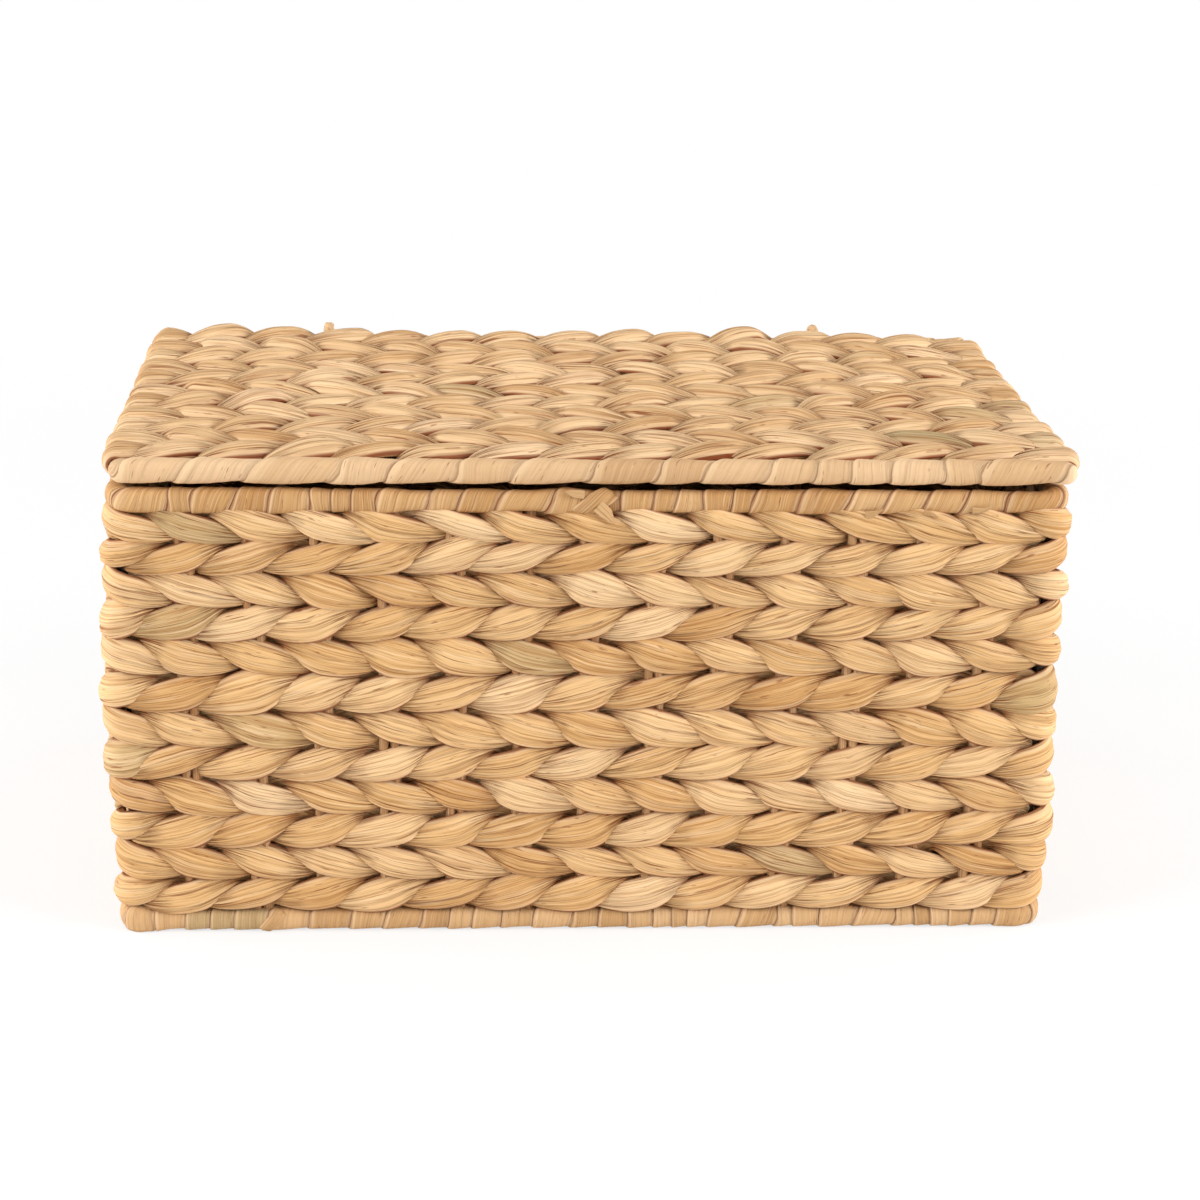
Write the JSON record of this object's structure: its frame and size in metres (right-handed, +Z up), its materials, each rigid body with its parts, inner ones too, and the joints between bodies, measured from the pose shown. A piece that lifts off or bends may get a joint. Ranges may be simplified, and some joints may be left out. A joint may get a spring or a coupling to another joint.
{
  "type": "woven lidded box",
  "caption": "Rectangular storage box of twined plant fibre on a wire frame, with a flat woven lid that folds back on two cord ties.",
  "frame": {"origin": "on the floor, below the middle of the box", "axes": "+X to the right along the width, -Y towards the front, +Z up"},
  "size_m": [0.402, 0.2423, 0.2128],
  "materials": {
    "twined_strand": "matte",
    "rim_ribbon": "matte",
    "warp_ribbon": "matte",
    "tie_cord": "matte",
    "frame_wire": "satin"
  },
  "bodies": {
    "body": {"top_rim_wire": "frame_wire", "base_rim_wire": "frame_wire", "front_left_post": "frame_wire", "front_right_post": "frame_wire", "back_right_post": "frame_wire", "back_left_post": "frame_wire", "front_warp": "warp_ribbon", "back_warp": "warp_ribbon", "left_warp": "warp_ribbon", "right_warp": "warp_ribbon", "floor_warp": "warp_ribbon", "wall_course_01": "twined_strand", "wall_course_02": "twined_strand", "wall_course_03": "twined_strand", "wall_course_04": "twined_strand", "wall_course_05": "twined_strand", "wall_course_06": "twined_strand", "wall_course_07": "twined_strand", "wall_course_08": "twined_strand", "wall_course_09": "twined_strand", "wall_course_10": "twined_strand", "wall_course_11": "twined_strand", "wall_course_12": "twined_strand", "floor_course_01": "twined_strand", "floor_course_02": "twined_strand", "floor_course_03": "twined_strand", "floor_course_04": "twined_strand", "floor_course_05": "twined_strand", "floor_course_06": "twined_strand", "floor_course_07": "twined_strand", "floor_course_08": "twined_strand", "floor_course_09": "twined_strand", "floor_course_10": "twined_strand", "floor_course_11": "twined_strand", "top_rim_wrap": "rim_ribbon", "base_rim_wrap": "rim_ribbon"},
    "hinge_ties": {"left_hinge_tie": "tie_cord", "right_hinge_tie": "tie_cord"},
    "lid": {"lid_frame_wire": "frame_wire", "lid_warp": "warp_ribbon", "lid_course_01": "twined_strand", "lid_course_02": "twined_strand", "lid_course_03": "twined_strand", "lid_course_04": "twined_strand", "lid_course_05": "twined_strand", "lid_course_06": "twined_strand", "lid_course_07": "twined_strand", "lid_course_08": "twined_strand", "lid_course_09": "twined_strand", "lid_course_10": "twined_strand", "lid_course_11": "twined_strand", "lid_front_wrap": "rim_ribbon", "lid_back_wrap": "rim_ribbon"}
  },
  "joints": [
    {"name": "tie_swing", "type": "hinge", "parent": "body", "child": "hinge_ties", "pos_m": [0, 0.113, 0.19124], "axis": [-1, 0, 0], "range_deg": [0, 90]},
    {"name": "lid_hinge", "type": "hinge", "parent": "hinge_ties", "child": "lid", "pos_m": [0, 0.113, 0.2035], "axis": [-1, 0, 0], "range_deg": [0, 90]}
  ],
  "couplings": [
    {"joint": "tie_swing", "follows": "lid_hinge", "ratio": 1}
  ]
}
